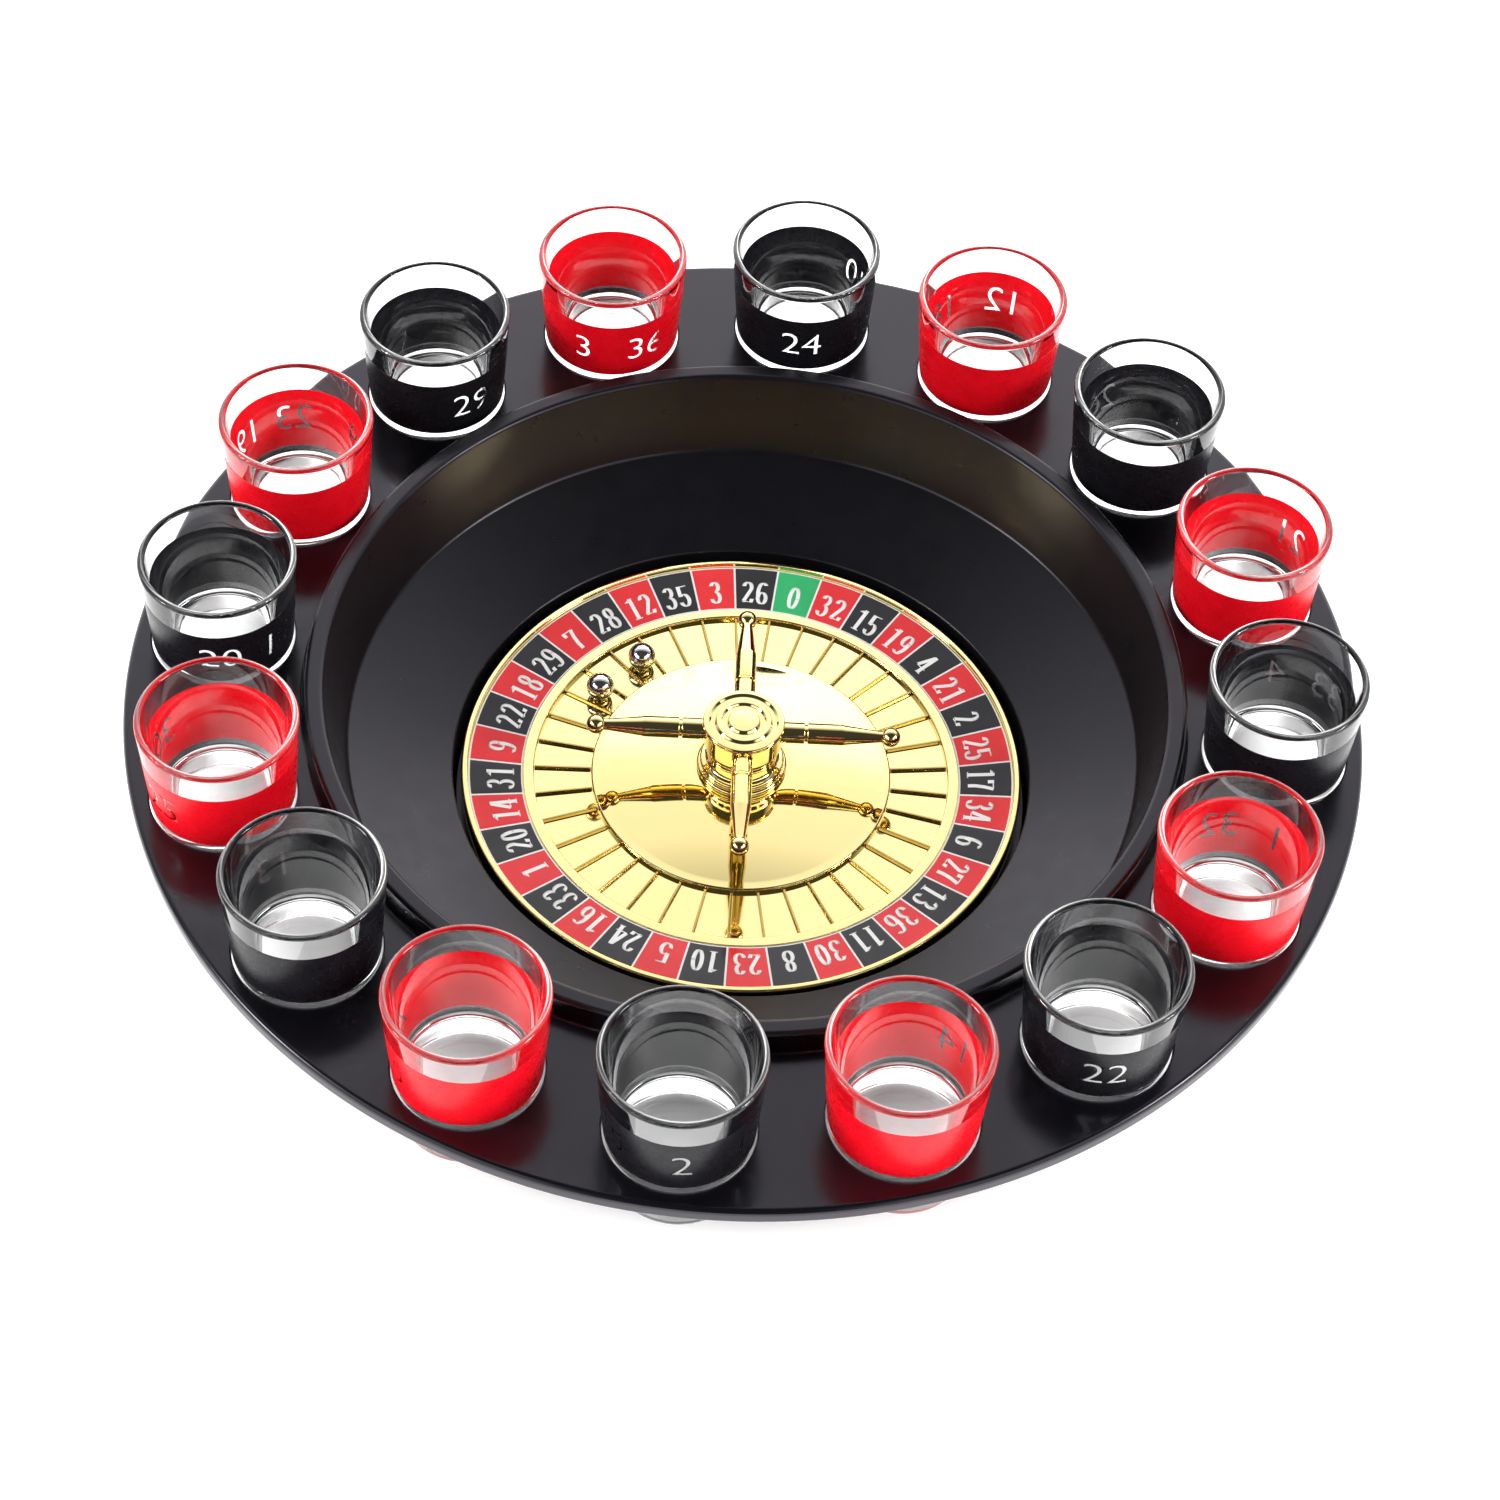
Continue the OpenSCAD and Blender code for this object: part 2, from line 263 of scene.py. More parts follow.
def noise(tree, scale, detail=4.0):
    """The factor socket of a noise in object space; the scale is in features per metre."""
    where = tree.nodes.new("ShaderNodeTexCoord")
    made = tree.nodes.new("ShaderNodeTexNoise")
    made.inputs["Scale"].default_value = scale
    made.inputs["Detail"].default_value = detail
    made.inputs["Roughness"].default_value = NOISE_ROUGHNESS
    tree.links.new(where.outputs["Object"], made.inputs["Vector"])
    return made.outputs["Fac"]


def spread(tree, factor, lowest, highest, start=0.3, end=0.7):
    """Maps a factor from start..end to lowest..highest."""
    ranged = tree.nodes.new("ShaderNodeMapRange")
    ranged.inputs["From Min"].default_value = start
    ranged.inputs["From Max"].default_value = end
    ranged.inputs["To Min"].default_value = lowest
    ranged.inputs["To Max"].default_value = highest
    tree.links.new(factor, ranged.inputs["Value"])
    return ranged.outputs["Result"]


def mixed(tree, factor, one, two):
    """A colour between two, by the factor."""
    mix = tree.nodes.new("ShaderNodeMix")
    mix.data_type = "RGBA"
    mix.inputs[6].default_value = (*one, 1)
    mix.inputs[7].default_value = (*two, 1)
    tree.links.new(factor, mix.inputs[0])
    return mix.outputs[2]


def bump(tree, shader, height, strength, distance_mm):
    """Gives the shader a bump of a height in mm."""
    made = tree.nodes.new("ShaderNodeBump")
    made.inputs["Strength"].default_value = strength
    made.inputs["Distance"].default_value = distance_mm * MM
    tree.links.new(height, made.inputs["Height"])
    tree.links.new(made.outputs["Normal"], shader.inputs["Normal"])


def surface(name, one, two, rough, bump_size, metallic=0.0, specular=0.5, tint=(1, 1, 1), patch=60,
            grain=1500):
    """A material whose colour and roughness vary in soft patches and whose bump is a fine grain."""
    material, tree, shader = new_material(name)
    shader.inputs["Metallic"].default_value = metallic
    shader.inputs["Specular Tint"].default_value = (*tint, 1)
    shader.inputs["Specular IOR Level"].default_value = specular
    patches = noise(tree, patch)
    tree.links.new(mixed(tree, spread(tree, patches, 0, 1), one, two), shader.inputs["Base Color"])
    streaks = noise(tree, patch * STREAK_RATIO, detail=6)
    tree.links.new(spread(tree, streaks, *rough), shader.inputs["Roughness"])
    bump(tree, shader, noise(tree, grain, detail=3), BUMP_STRENGTH, bump_size)
    return material


def glass_material():
    """Clear glass that lets lamps through, with faint smears in its roughness."""
    material, tree, shader = new_material("clear_glass")
    shader.inputs["Base Color"].default_value = (0.97, 0.98, 0.98, 1)
    shader.inputs["Transmission Weight"].default_value = 1.0
    shader.inputs["IOR"].default_value = 1.5
    tree.links.new(spread(tree, noise(tree, 90), 0.0, 0.03), shader.inputs["Roughness"])
    bump(tree, shader, noise(tree, 120, detail=2), 0.25, 0.02)
    clear = tree.nodes.new("ShaderNodeBsdfTransparent")
    clear.inputs["Color"].default_value = (0.92, 0.94, 0.94, 1)
    path = tree.nodes.new("ShaderNodeLightPath")
    mix = tree.nodes.new("ShaderNodeMixShader")
    tree.links.new(path.outputs["Is Shadow Ray"], mix.inputs["Fac"])
    tree.links.new(shader.outputs["BSDF"], mix.inputs[1])
    tree.links.new(clear.outputs["BSDF"], mix.inputs[2])
    tree.links.new(mix.outputs["Shader"], tree.nodes["Material Output"].inputs["Surface"])
    return material


def paint(name, one, two):
    """Screen-printed enamel in contact with the glass: little gloss of its own, slight mottling."""
    return surface(name, one, two, (0.24, 0.34), 0.0015, specular=0.12, patch=220, grain=2600)


PURPLISH = (0.92, 0.88, 1.0)
bowl_plastic = surface("bowl_plastic", (0.0032, 0.0029, 0.0044), (0.0045, 0.0042, 0.006),
                       (0.27, 0.33), 0.006, specular=0.45, tint=PURPLISH)
flange_plastic = surface("flange_plastic", (0.0035, 0.0032, 0.0048), (0.005, 0.0047, 0.0065),
                         (0.17, 0.23), 0.006, specular=0.5, tint=PURPLISH)
rubber = surface("black_rubber_material", (0.012, 0.012, 0.012), (0.022, 0.022, 0.023), (0.7, 0.85), 0.04)
gold = surface("gold_mirror_material", (1.0, 0.82, 0.36), (1.0, 0.84, 0.40), (0.03, 0.06), 0.002,
               metallic=1.0, patch=35, grain=500)
gold_floor = surface("gold_satin_material", (1.0, 0.83, 0.37), (1.0, 0.85, 0.42), (0.04, 0.09), 0.003,
                     metallic=1.0, patch=45, grain=700)
# Painted shade: a darker copy of the gold for the pocket walls, standing in for the shade between the
# pockets.
fret_gold_painted_shade = surface("fret_gold_painted_shade_material", (0.46, 0.32, 0.09), (0.60, 0.43, 0.14), (0.10, 0.18), 0.003,
                    metallic=1.0, patch=120, grain=900)
zinc = surface("zinc_steel_material", (0.55, 0.56, 0.58), (0.68, 0.69, 0.71), (0.25, 0.4), 0.01,
               metallic=1.0)
dark_steel = surface("dark_steel_material", (0.07, 0.07, 0.075), (0.12, 0.12, 0.13), (0.3, 0.45), 0.01,
                     metallic=1.0)
nylon = surface("nylon_material", (0.72, 0.71, 0.67), (0.80, 0.79, 0.75), (0.4, 0.55), 0.01)
brass = surface("brass_material", (0.55, 0.38, 0.13), (0.66, 0.47, 0.18), (0.2, 0.35), 0.01, metallic=1.0)
chrome = surface("polished_steel_material", (0.86, 0.86, 0.88), (0.93, 0.93, 0.94), (0.02, 0.05), 0.002,
                 metallic=1.0, patch=300)


def ink(name, one, two):
    """Glossy printing on the number ring."""
    return surface(name, one, two, (0.12, 0.18), 0.002, specular=0.3, patch=90)


label_white = ink("label_white", (0.86, 0.86, 0.85), (0.92, 0.92, 0.91))
label_red = ink("label_red", (0.76, 0.022, 0.028), (0.84, 0.03, 0.038))
label_black = ink("label_black", (0.014, 0.014, 0.018), (0.022, 0.022, 0.027))
label_green = ink("label_green", (0.02, 0.42, 0.13), (0.03, 0.48, 0.16))
red_paint = paint("red_paint", (0.74, 0.003, 0.010), (0.82, 0.005, 0.015))
black_paint = paint("black_paint", (0.006, 0.0055, 0.0075), (0.010, 0.009, 0.012))
clear_glass = glass_material()


# ---- Tray ----

def tray_outline():
    """The moulding's section: boss, recess, sloping floor, wall, ridge, flange, skirt and underside."""
    floor_z = TRAY_UNDER_Z + WALL_T
    return rounded([
        (SPINDLE_R, floor_z + BOSS_H, 0), (BOSS_R, floor_z + BOSS_H, 0.3), (BOSS_R, floor_z, 0.3),
        (RECESS_R, floor_z, 1.0), (RECESS_R, RECESS_EDGE_Z, 0.7),
        (BOWL_FOOT_R, FLANGE_Z - BOWL_DEPTH, 1.6),
        (BOWL_TOP_R - 0.3, RIDGE_Z, 1.3), (BOWL_TOP_R + RIDGE_W, RIDGE_Z, 1.1),
        (BOWL_TOP_R + RIDGE_W + 1.0, FLANGE_Z, 0.6), (FLANGE_R, FLANGE_Z, 1.5),
        (FLANGE_R, FLANGE_SKIRT_Z, 0.5), (FLANGE_R - SKIRT_T, FLANGE_SKIRT_Z, 0.4),
        (FLANGE_R - WALL_T, FLANGE_Z - WALL_T, 0.8), (BOWL_TOP_R + 1.6, FLANGE_Z - WALL_T, 2.0),
        (BOWL_TOP_R - 1.8, FLANGE_Z - 16.4, 3.0), (WELL_R, RECESS_EDGE_Z - WALL_T, 1.5),
        (WELL_R, TRAY_UNDER_Z, 0.6), (NUT_SEAT_R, TRAY_UNDER_Z, 0.2),
        (NUT_SEAT_R, TRAY_UNDER_Z + NUT_SEAT_H, 0.1), (SPINDLE_R, TRAY_UNDER_Z + NUT_SEAT_H, 0),
    ])


def hole_cutter(centre):
    """A cutter for one glass's hole, with a rounded lip at the flange's top."""
    radius = GLASS_FOOT_R + (GLASS_RIM_R - GLASS_FOOT_R) * GLASS_FOOT_T / GLASS_H + HOLE_GAP
    lip = 0.5
    outline = [(0, FLANGE_Z - 8), (radius, FLANGE_Z - 8)]
    outline += arc(radius + lip, FLANGE_Z - lip, lip, 180, 90, 5)
    outline += [(radius + lip, FLANGE_Z + 6), (0, FLANGE_Z + 6)]
    return lathe("cutter", outline, 96, Matrix.Translation((centre.x, centre.y, 0)))


def glass_centre(node):
    """A glass's axis, as a point on the table."""
    middle = (low(node) + high(node)) / 2
    return Vector((middle.x, middle.y, 0))


def cut(piece, cutters):
    """Takes the cutters out of the piece, then deletes them."""
    group = bpy.data.collections.new("cutters")
    for cutter in cutters:
        group.objects.link(cutter)
    modifier = piece.modifiers.new("holes", "BOOLEAN")
    modifier.operation = "DIFFERENCE"
    modifier.operand_type = "COLLECTION"
    modifier.collection = group
    modifier.solver = "EXACT"
    graph = bpy.context.evaluated_depsgraph_get()
    result = bpy.data.meshes.new_from_object(piece.evaluated_get(graph), depsgraph=graph)
    piece.modifiers.clear()
    piece.data = result
    for cutter in cutters:
        bpy.data.objects.remove(cutter)
    bpy.data.collections.remove(group)


def split_faces(piece, radius, one, two):
    """Faces beyond the radius get the second material."""
    piece.data.materials.clear()
    piece.data.materials.append(one)
    piece.data.materials.append(two)
    for face in piece.data.polygons:
        out = math.hypot(face.center.x, face.center.y) / MM
        face.material_index = 1 if out > radius else 0


def glass_names():
    return [f"glass_{i:02d}" for i in range(1, GLASS_COUNT + 1)]


def make_tray():
    tray = lathe("tray_moulding", tray_outline(), 288)
    cut(tray, [hole_cutter(glass_centre(n)) for n in glass_names()])
    smooth(tray.data, 32)
    even_normals(tray)
    split_faces(tray, BOWL_TOP_R + RIDGE_W + 0.4, bowl_plastic, flange_plastic)
    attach(tray, "tray")
    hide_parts("tray_flange", "bowl_wall", "bowl_floor", "rotor_well")


# ---- Rotor ----

def label_top(radius):
    """Height of the printed ring's top at a radius."""
    rise = (LABEL_TOP_Z - LABEL_LOW_Z - LABEL_T) / (LABEL_OUT_R - LABEL_IN_R)
    return LABEL_LOW_Z + LABEL_T + rise * (radius - LABEL_IN_R)


def make_rim():
    """The rotor's outer ring: the pockets' outer wall, the seat of the printed ring and the edge."""
    lip_z = POCKET_Z + POCKET_DEPTH
    outline = rounded([
        (POCKET_OUT_R, POCKET_Z, 0), (POCKET_OUT_R, lip_z, 0.5), (LABEL_IN_R - 0.1, lip_z, 0.2),
        (LABEL_IN_R - 0.1, LABEL_LOW_Z - 0.02, 0), (LABEL_OUT_R + 0.1, label_top(LABEL_OUT_R) - 0.27, 0),
        (LABEL_OUT_R + 0.25, RIM_Z, 0.25), (RIM_R, RIM_Z, 0.7),
        (RIM_R, RIM_UNDER_Z, 0.2), (RIM_R - 2.1, RIM_UNDER_Z, 0.1), (RIM_R - 2.1, POCKET_Z, 0),
    ])
    finish_piece(lathe("rotor_rim_turned", outline, 256), "rotor", gold, ["rotor_rim"])


def make_cone():
    """The plateau: flat under the turret, then falling gently to a rounded edge above the pockets."""
    edge_z = POCKET_Z + POCKET_DEPTH
    seat_r = BASE_R + 0.6
    reach = POCKET_IN_R - 0.5 - seat_r
    steps = 24
    dome = [(seat_r + reach * i / steps, CONE_TOP_Z - (CONE_TOP_Z - edge_z) * (i / steps) ** 1.5)
            for i in range(steps)]
    edge = arc(POCKET_IN_R - 0.6, edge_z - 0.45, 0.6, 80, 0, 6)
    outline = [(HUB_BORE_R, CONE_TOP_Z)] + dome + edge
    outline += [(POCKET_IN_R, POCKET_Z), (HUB_R, POCKET_Z), (HUB_R, POCKET_Z - HUB_H),
                (HUB_BORE_R, POCKET_Z - HUB_H)]
    finish_piece(lathe("rotor_cone_turned", outline, 256), "rotor", gold, ["rotor_cone"])


def make_frets():
    """Thin walls between the pockets: rounded on top, chamfered at their inner end."""
    bm = bmesh.new()
    half = 0.4
    height = FRET_TOP_Z - POCKET_Z
    stations = [(POCKET_IN_R + 0.1, height - 0.3), (POCKET_IN_R + 0.3, height - 0.1),
                (POCKET_IN_R + 0.6, height), (POCKET_OUT_R - 0.1, height)]
    for i in range(POCKET_COUNT):
        turn = Matrix.Rotation(math.radians(FIRST_POCKET + (i + 0.5) * PITCH), 4, "Z")
        rings = []
        for radius, top in stations:
            left = arc(-half + 0.24, top - 0.14, 0.14, 90, 170, 4)
            section = [(half, 0.0)] + [(-y, z) for y, z in left[::-1]] + left + [(-half, 0.0)]
            rings.append([bm.verts.new(turn @ Vector((radius, y, POCKET_Z + z)) * MM) for y, z in section])
        for one, two in zip(rings, rings[1:]):
            for k in range(len(one)):
                j = (k + 1) % len(one)
                bm.faces.new((one[k], one[j], two[j], two[k]))
        bm.faces.new(rings[0][::-1])
        bm.faces.new(rings[-1])
    frets = new_object("pocket_walls", to_mesh("pocket_walls", bm, 40))
    # The pocket walls take the darker copy of the gold, which is painted shade.
    finish_piece(frets, "rotor", fret_gold_painted_shade, ["pocket_frets"])


# ---- The printed number ring ----

WHEEL = (0, 32, 15, 19, 4, 21, 2, 25, 17, 34, 6, 27, 13, 36, 11, 30, 8, 23, 10,
         5, 24, 16, 33, 1, 20, 14, 31, 9, 22, 18, 29, 7, 28, 12, 35, 3, 26)
RED = {1, 3, 5, 7, 9, 12, 14, 16, 18, 19, 21, 23, 25, 27, 30, 32, 34, 36}
LABEL_EDGE = 0.4
LABEL_GAP = 0.5
DIGIT_H = 7.0
DIGIT_ADVANCE = 3.75
DIGIT_FOOT_R = 56.2
NIB_WIDE = 0.072
NIB_THIN = 0.022
FIELD_LIFT = 0.03
FIELD_FILM = 0.04
NUMBER_LIFT = 0.05
NUMBER_FILM = 0.03
STROKE_STEP = 0.004


def digit_strokes(digit):
    """Strokes of a condensed numeral in a box one unit tall, centred on x = 0."""
    return {
        0: [oval(0, 0.5, 0.145, 0.47, 0, 360, 32)],
        1: [[(0.03, 0.02), (0.03, 0.98)], [(-0.13, 0.83), (-0.02, 0.93)], [(-0.1, 0.03), (0.17, 0.03)]],
        2: [oval(0, 0.745, 0.14, 0.225, 170, -25, 16) + [(-0.02, 0.33), (-0.12, 0.12)],
            [(-0.15, 0.07), (0.0, 0.1), (0.14, 0.06), (0.18, 0.22)]],
        3: [oval(-0.01, 0.755, 0.125, 0.215, 165, -75, 18), oval(-0.01, 0.28, 0.15, 0.25, 85, -165, 20)],
        4: [[(0.04, 0.95), (-0.19, 0.29)], [(-0.2, 0.27), (0.2, 0.27)], [(0.07, 0.02), (0.07, 0.98)],
            [(-0.03, 0.03), (0.18, 0.03)]],
        5: [[(-0.12, 0.93), (0.16, 0.95)], [(-0.13, 0.96), (-0.13, 0.52)],
            oval(-0.01, 0.31, 0.155, 0.275, 140, -165, 20)],
        6: [oval(0.0, 0.29, 0.145, 0.26, 0, 360, 28), oval(0.03, 0.5, 0.175, 0.47, 50, 200, 16)],
        7: [[(-0.17, 0.93), (0.18, 0.93)], [(-0.17, 0.96), (-0.17, 0.74)],
            [(0.17, 0.92), (0.06, 0.6), (0.0, 0.3), (-0.01, 0.03)]],
        8: [oval(0, 0.75, 0.12, 0.22, 0, 360, 28), oval(0, 0.28, 0.145, 0.25, 0, 360, 28)],
        9: [oval(0.0, 0.71, 0.145, 0.26, 0, 360, 28), oval(-0.03, 0.5, 0.175, 0.47, 230, 380, 16)],
    }[digit]


def nib_strip(path):
    """Left and right edges of a stroke drawn with a broad nib: thick upright, thin across."""
    edges = []
    for i, here in enumerate(path):
        before = Vector(path[max(i - 1, 0)])
        after = Vector(path[min(i + 1, len(path) - 1)])
        if path[0] == path[-1] and i in (0, len(path) - 1):
            before, after = Vector(path[-2]), Vector(path[1])
        along = (after - before).normalized()
        normal = Vector((-along.y, along.x))
        reach = math.hypot(NIB_WIDE * normal.x, NIB_THIN * normal.y)
        offset = Vector((NIB_WIDE ** 2 * normal.x, NIB_THIN ** 2 * normal.y)) / reach
        edges.append((Vector(here) + offset, Vector(here) - offset))
    return edges


def add_number(bm, number, angle, lift):
    """Adds a number's strokes to bm, its tops pointing outward, just above the label."""
    digits = [int(c) for c in str(number)]
    out = Vector((math.cos(angle), math.sin(angle)))
    right = Vector((out.y, -out.x))
    for place, digit in enumerate(digits):
        shift = (place - (len(digits) - 1) / 2) * DIGIT_ADVANCE
        for layer, stroke in enumerate(digit_strokes(digit)):
            rows = []
            for pair in nib_strip(stroke):
                row = []
                for p in pair:
                    flat = out * (DIGIT_FOOT_R + p.y * DIGIT_H) + right * (shift + p.x * DIGIT_H)
                    z = label_top(flat.length) + lift + layer * STROKE_STEP
                    row.append(bm.verts.new(Vector((flat.x, flat.y, z)) * MM))
                rows.append(row)
            for one, two in zip(rows, rows[1:]):
                bm.faces.new((one[0], one[1], two[1], two[0]))


def add_cell(bm, angle, lift):
    """Adds one number's field to bm."""
    steps = 8
    radii = [LABEL_IN_R + LABEL_EDGE, (LABEL_IN_R + LABEL_OUT_R) / 2, LABEL_OUT_R - LABEL_EDGE]
    rows = []
    for radius in radii:
        half = math.radians(PITCH / 2) - LABEL_GAP / 2 / radius
        row = []
        for k in range(steps + 1):
            a = angle - half + 2 * half * k / steps
            z = label_top(radius) + lift
            row.append(bm.verts.new(Vector((radius * math.cos(a), radius * math.sin(a), z)) * MM))
        rows.append(row)
    for one, two in zip(rows, rows[1:]):
        for k in range(steps):
            bm.faces.new((one[k], two[k], two[k + 1], one[k + 1]))


def thick_sheet(name, bm, thickness, material):
    """Closes a thin printed sheet into a solid film below its surface."""
    bmesh.ops.recalc_face_normals(bm, faces=bm.faces)
    for face in bm.faces:
        if face.normal.z < 0:
            face.normal_flip()
    mesh = close_bmesh(name, bm)
    smooth(mesh, 30)
    sheet = new_object(name, mesh)
    thicken(sheet, thickness, -1)
    finish_piece(sheet, "rotor", material)


def cell_angle(i):
    """Direction of a field's middle; the numbers run clockwise seen from above."""
    return math.radians(FIRST_POCKET - i * PITCH)


def colour_of(number):
    if number == 0:
        return "green"
    return "red" if number in RED else "black"


def make_label():
    """The white card, its coloured fields and its numerals."""
    outline = rounded([
        (LABEL_IN_R, LABEL_LOW_Z, 0), (LABEL_OUT_R, LABEL_TOP_Z - LABEL_T, 0),
        (LABEL_OUT_R, LABEL_TOP_Z, 0.08), (LABEL_IN_R, LABEL_LOW_Z + LABEL_T, 0.08),
    ], 3)
    card = lathe("number_card", outline, 256)
    finish_piece(card, "rotor", label_white, ["number_ring"])
    inks = {"red": label_red, "black": label_black, "green": label_green}
    for colour, material in inks.items():
        bm = bmesh.new()
        for i, number in enumerate(WHEEL):
            if colour_of(number) == colour:
                add_cell(bm, cell_angle(i), FIELD_LIFT)
        thick_sheet(f"number_fields_{colour}", bm, FIELD_FILM, material)
    bm = bmesh.new()
    for i, number in enumerate(WHEEL):
        add_number(bm, number, cell_angle(i), NUMBER_LIFT)
    thick_sheet("number_digits", bm, NUMBER_FILM, label_white)


# ---- Turret ----

def make_turret():
    """The turret's beaded base, its waisted column and its ringed cap."""
    base = [(COLUMN_SEAT_R, CONE_TOP_Z), (BASE_R - 0.4, CONE_TOP_Z)]
    base += arc(BASE_R - 0.95, CONE_TOP_Z + 0.95, 0.95, -60, 75, 12)
    base += arc(BASE_R - 1.6, CONE_TOP_Z + 2.65, 0.85, -55, 90, 12)
    base += [(COLUMN_R - 0.6, BASE_TOP_Z - 0.25), (COLUMN_R - 0.8, BASE_TOP_Z),
             (COLUMN_SEAT_R, BASE_TOP_Z)]
    finish_piece(lathe("turret_base_turned", base, 128), "rotor", gold, ["turret_base"])

    waist_z = BASE_TOP_Z + 2.2
    shoulder_z = ARM_Z - ARM_R - 0.6
    steps = 16
    column = [(0, CONE_TOP_Z + COLUMN_BORE_H), (COLUMN_BORE_R, CONE_TOP_Z + COLUMN_BORE_H),
              (COLUMN_BORE_R, CONE_TOP_Z), (COLUMN_SEAT_R, CONE_TOP_Z)]
    column += [(COLUMN_SEAT_R, BASE_TOP_Z), (COLUMN_R - 0.8, BASE_TOP_Z)]
    column += [(COLUMN_R - 0.5 - 0.5 * math.cos(math.pi * i / steps),
                waist_z + (shoulder_z - waist_z) * i / steps) for i in range(steps + 1)]
    column += arc(COLUMN_R - 0.3, COLUMN_TOP_Z - 0.3, 0.3, 0, 90, 4) + [(0, COLUMN_TOP_Z)]
    finish_piece(lathe("turret_column_turned", column, 128), "rotor", gold,
                 ["turret_column"])

    top = CAP_TOP_Z - 0.3
    under = COLUMN_TOP_Z
    cap = rounded([
        (0, under - CAP_PEG_H, 0), (CAP_PEG_R, under - CAP_PEG_H, 0.1), (CAP_PEG_R, under, 0.05),
        (CAP_R, under, 0.45),
        (CAP_R - 0.25, top, 0.5), (CAP_R - 1.6, top + 0.05, 0.35), (CAP_R - 2.2, top - 0.45, 0.3),
        (CAP_R - 3.0, top - 0.45, 0.3), (CAP_R - 3.6, top + 0.1, 0.4), (CAP_R - 4.6, top + 0.1, 0.4),
        (CAP_R - 5.1, top - 0.4, 0.3), (CAP_R - 6.0, top - 0.4, 0.3), (CAP_R - 6.6, top + 0.25, 0.5),
        (0, top + 0.3, 0),
    ])
    finish_piece(lathe("turret_cap_turned", cap, 128), "rotor", gold, ["turret_cap"])


def arm_outline():
    """An arm's section along its axis: socket, collar groove, taper and ball end."""
    start = COLUMN_R - 1
    reach = 36.2
    ball_r = 2.4
    groove_r = ARM_R - 0.5
    shaft = [(0, 4.2), (1.5, 4.2), (1.5, start), (ARM_R, start), (ARM_R, 14.8), (ARM_R - 0.12, 15.0)]
    groove = [(groove_r, 15.15), (groove_r, 15.65), (ARM_R - 0.12, 15.8)]
    taper = [(ARM_R, 16.0), (ARM_R, 24.3), (ARM_R - 0.15, 24.8), (1.4, 33.6)]
    return shaft + groove + taper + arc(0, reach, ball_r, -54, 90, 20)


def make_arms():
    for i in range(ARM_COUNT):
        node = f"arm_{i + 1}"
        turn = Matrix.Rotation(math.radians(ARM_TURN + i * 360 / ARM_COUNT), 4, "Z")
        place = Matrix.Translation((0, 0, ARM_Z)) @ turn @ Matrix.Rotation(math.pi / 2, 4, "Y")
        arm = lathe(f"{node}_turned", arm_outline(), 64, place)
        finish_piece(arm, "rotor", gold, [node])


def make_balls():
    for node in ("ball_1", "ball_2"):
        lowest, highest = low(node), high(node)
        centre = (lowest + highest) / 2
        radius = (highest.z - lowest.z) / 2
        outline = arc(0, 0, radius, -90, 90, 48)
        ball = lathe(f"{node}_polished", outline, 96, Matrix.Translation(centre), angle=60)
        finish_piece(ball, node, chrome, [node])


# ---- Glasses ----

BAND_LOW = 1.3
BAND_HIGH = 19.2
DIGIT_LOW = 6.8
GLASS_DIGIT_H = 7.7
STROKE_TRIM = 0.1
# The numbers printed on each glass, and the direction that each one faces, seen from above:
# degrees anticlockwise from the front of the wheel. Sixteen are read from the photograph; the rest
# are guesses that put each of 1 to 36 on one glass of its own colour.
PRINTS = {
    1: ((29, 36), (8, 92)),
    2: ((3, -21), (36, 33)),
    3: ((24, 0), (15, 62), (10, 122)),
    4: ((12, 166), (18, 228), (16, 280)),
    5: ((26, 221), (28, 276)),
    6: ((21, 136), (7, 84)),
    7: ((33, 134), (4, 182)),
    8: ((1, 140), (32, 189)),
    9: ((22, 2), (31, 278)),
    10: ((14, 139), (34, 88)),
    11: ((35, -58), (2, 4), (17, 60)),
    12: ((5, -55), (27, -100)),
    13: ((13, 213), (6, 265)),
    14: ((25, -43), (30, -114)),
    15: ((20, 7), (11, 58)),
    16: ((9, 128), (23, 191), (19, 240)),
}
WRAP_STEPS = 90
BAND_SINK = 0.06
BAND_FILM = 0.12


def cone_radius(z):
    """Outer radius of a glass at a height."""
    return GLASS_FOOT_R + (GLASS_RIM_R - GLASS_FOOT_R) * (z - GLASS_Z) / GLASS_H


def glass_outline():
    """A glass's section: thick foot, tapering wall, rounded lip and dished floor."""
    inner = GLASS_FOOT_R - 1.9
    top = GLASS_Z + GLASS_H
    floor = GLASS_Z + GLASS_FOOT_T
    outer = [(GLASS_FOOT_R - 3.2, GLASS_Z + 0.5), (GLASS_FOOT_R - 2.6, GLASS_Z + 0.1)]
    outer += arc(GLASS_FOOT_R - 1.2, GLASS_Z + 1.2, 1.2, -90, -4, 6)
    lip = arc(GLASS_RIM_R - 0.9, top - 0.9, 0.9, -4.3, 172, 14)
    well = arc(inner - 2.2, floor + 2.2, 2.2, -8, -90, 10)
    return [(0, GLASS_Z + 0.9)] + outer + lip + well + [(0, floor - 0.35)]


def bezier_points(one, two, steps=6):
    """Points along the piece of curve between two (left handle, point, right handle) knots."""
    ends = (one[1], one[2], two[0], two[1])
    return [Vector(p.xy) for p in interpolate_bezier(*(Vector((*q, 0)) for q in ends), steps + 1)[:-1]]


def trimmed(line, width):
    """A closed line moved sideways, so that what it encloses loses the width all round."""
    moved = []
    for i, here in enumerate(line):
        along = (line[(i + 1) % len(line)] - line[i - 1]).normalized()
        moved.append(here + Vector((along.y, -along.x)) * width)
    return moved


